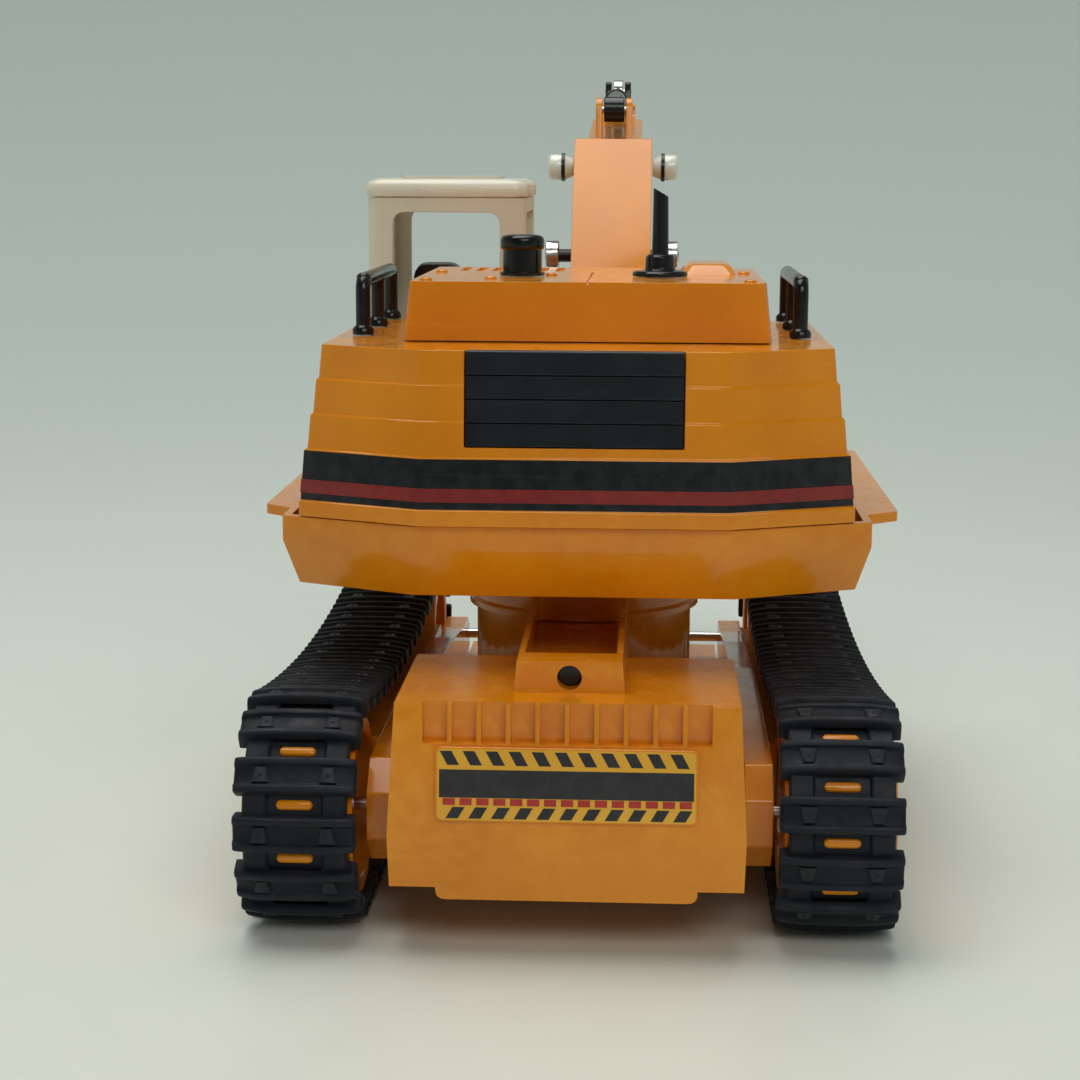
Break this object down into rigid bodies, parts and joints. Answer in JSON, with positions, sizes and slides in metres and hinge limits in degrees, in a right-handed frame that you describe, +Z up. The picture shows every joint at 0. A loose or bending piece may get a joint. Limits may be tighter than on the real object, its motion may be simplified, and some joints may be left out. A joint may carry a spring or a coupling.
{
  "type": "toy excavator",
  "caption": "Battery toy excavator on rubber tracks, with a slewing house, side cab, and a boom, arm and bucket worked by dummy cylinders.",
  "frame": {"origin": "on the ground, at the middle of the overall length and width", "axes": "+Z up, the boom points along -Y, +X is the driver's left"},
  "size_m": [0.1594, 0.3452, 0.2041],
  "materials": {
    "yellow_plastic": "glossy moulded, warm orange-yellow",
    "black_plastic": "satin black moulded",
    "cream_plastic": "smooth off-white moulded",
    "steel": "bright drawn steel",
    "track_rubber": "dull soft black, slightly blue",
    "label_plastic": "printed film on moulded plate",
    "battery_wrap": "shrink-wrapped cell",
    "motor_can": "plated can",
    "gear_plastic": "natural nylon",
    "lamp_lens": "pale moulded"
  },
  "bodies": {
    "undercarriage": {"chassis_shell": "yellow_plastic", "belly_plate": "yellow_plastic", "battery_door": "yellow_plastic", "battery_1": "battery_wrap", "battery_2": "battery_wrap", "battery_3": "battery_wrap", "belly_screw_front": "steel", "belly_screw_rear": "steel", "label_plate": "label_plastic", "side_frame_left": "yellow_plastic", "side_frame_right": "yellow_plastic", "belt_left": "track_rubber", "belt_right": "track_rubber", "motor": "motor_can", "turret_base": "yellow_plastic"},
    "drive_axle": {"rear_axle": "steel", "sprocket_left": "yellow_plastic", "sprocket_right": "yellow_plastic", "axle_gear": "gear_plastic"},
    "idler_axle": {"front_axle": "steel", "idler_left": "yellow_plastic", "idler_right": "yellow_plastic"},
    "roller_1": {"roller_set_1": "yellow_plastic"},
    "roller_2": {"roller_set_2": "yellow_plastic"},
    "roller_3": {"roller_set_3": "yellow_plastic"},
    "motor_rotor": {"drive_pinion": "gear_plastic"},
    "switch_knob": {"power_switch": "black_plastic"},
    "house": {"turntable": "yellow_plastic", "slew_retainer": "steel", "slew_screw": "steel", "deck_tray": "yellow_plastic", "house_shell": "yellow_plastic", "rear_grille": "black_plastic", "hood_cover": "yellow_plastic", "precleaner": "black_plastic", "exhaust_stack": "black_plastic", "handrail_left": "black_plastic", "handrail_right": "black_plastic", "tank_cover": "yellow_plastic", "cab_body": "cream_plastic", "cab_roof": "cream_plastic", "seat": "black_plastic", "control_console": "black_plastic", "boom_pin": "steel"},
    "boom": {"boom": "yellow_plastic", "boom_cylinder_pin": "steel", "arm_pin": "steel", "work_lamp_left": "lamp_lens", "work_lamp_right": "lamp_lens"},
    "boom_barrels": {"boom_cylinder_left": "black_plastic", "boom_cylinder_right": "black_plastic"},
    "boom_rods": {"boom_rod_left": "steel", "boom_rod_right": "steel"},
    "arm_barrel": {"arm_cylinder": "black_plastic"},
    "arm_rod": {"arm_rod": "steel"},
    "arm": {"arm": "yellow_plastic", "bucket_pin": "steel"},
    "bucket_barrel": {"bucket_cylinder": "black_plastic"},
    "bucket_rod": {"bucket_rod": "steel"},
    "bucket": {"bucket": "black_plastic"}
  },
  "joints": [
    {"name": "drive_axle_turn", "type": "hinge", "parent": "undercarriage", "child": "drive_axle", "pos_m": [0, 0.1433, 0.027], "axis": [1, 0, 0], "continuous": true},
    {"name": "idler_axle_turn", "type": "hinge", "parent": "undercarriage", "child": "idler_axle", "pos_m": [0, -0.04907, 0.027], "axis": [1, 0, 0], "continuous": true},
    {"name": "roller_1_turn", "type": "hinge", "parent": "undercarriage", "child": "roller_1", "pos_m": [0, 0.09521, 0.0168], "axis": [1, 0, 0], "continuous": true},
    {"name": "roller_2_turn", "type": "hinge", "parent": "undercarriage", "child": "roller_2", "pos_m": [0, 0.04712, 0.0168], "axis": [1, 0, 0], "continuous": true},
    {"name": "roller_3_turn", "type": "hinge", "parent": "undercarriage", "child": "roller_3", "pos_m": [0, -0.00097, 0.0168], "axis": [1, 0, 0], "continuous": true},
    {"name": "motor_turn", "type": "hinge", "parent": "undercarriage", "child": "motor_rotor", "pos_m": [0, 0.1275, 0.027], "axis": [1, 0, 0], "continuous": true},
    {"name": "switch_slide", "type": "slide", "parent": "undercarriage", "child": "switch_knob", "axis": [0, 1, 0], "range_m": [0, 0.004]},
    {"name": "house_slew", "type": "hinge", "parent": "undercarriage", "child": "house", "pos_m": [0, 0.0483, 0.066], "axis": [0, 0, 1], "continuous": true},
    {"name": "boom_lift", "type": "hinge", "parent": "house", "child": "boom", "pos_m": [-0.005, -0.0097, 0.104], "axis": [-1, 0, 0], "range_deg": [-11, 14]},
    {"name": "boom_barrel_swing", "type": "hinge", "parent": "house", "child": "boom_barrels", "pos_m": [-0.005, -0.0307, 0.086], "axis": [-1, 0, 0], "range_deg": [-9.6, 12.2]},
    {"name": "boom_rod_slide", "type": "slide", "parent": "boom_barrels", "child": "boom_rods", "axis": [0, -0.283, 0.9591], "range_m": [-0.0052, 0.0066]},
    {"name": "arm_swing", "type": "hinge", "parent": "boom", "child": "arm", "pos_m": [-0.005, -0.1397, 0.184], "axis": [-1, 0, 0], "range_deg": [-12, 28]},
    {"name": "arm_barrel_swing", "type": "hinge", "parent": "boom", "child": "arm_barrel", "pos_m": [-0.005, -0.0687, 0.192], "axis": [-1, 0, 0], "range_deg": [-2, 4]},
    {"name": "arm_rod_slide", "type": "slide", "parent": "arm_barrel", "child": "arm_rod", "axis": [0, -0.995, 0.0995], "range_m": [-0.0083, 0.0038]},
    {"name": "bucket_curl", "type": "hinge", "parent": "arm", "child": "bucket", "pos_m": [-0.005, -0.1517, 0.084], "axis": [-1, 0, 0], "range_deg": [-25, 35]},
    {"name": "bucket_barrel_swing", "type": "hinge", "parent": "arm", "child": "bucket_barrel", "pos_m": [-0.005, -0.1647, 0.178], "axis": [-1, 0, 0], "range_deg": [-2, 2]},
    {"name": "bucket_rod_slide", "type": "slide", "parent": "bucket_barrel", "child": "bucket_rod", "axis": [0, 0.0109, -0.9999], "range_m": [-0.0073, 0.0053]}
  ],
  "couplings": [
    {"joint": "motor_turn", "follows": "drive_axle_turn", "ratio": -2.4444},
    {"joint": "boom_barrel_swing", "follows": "boom_lift", "ratio": 0.8156},
    {"joint": "boom_rod_slide", "follows": "boom_lift", "m_per_rad": 0.024942},
    {"joint": "arm_barrel_swing", "follows": "arm_swing", "ratio": 0.1089},
    {"joint": "arm_rod_slide", "follows": "arm_swing", "m_per_rad": -0.01603},
    {"joint": "bucket_barrel_swing", "follows": "bucket_curl", "ratio": -0.0333},
    {"joint": "bucket_rod_slide", "follows": "bucket_curl", "m_per_rad": -0.011111}
  ]
}
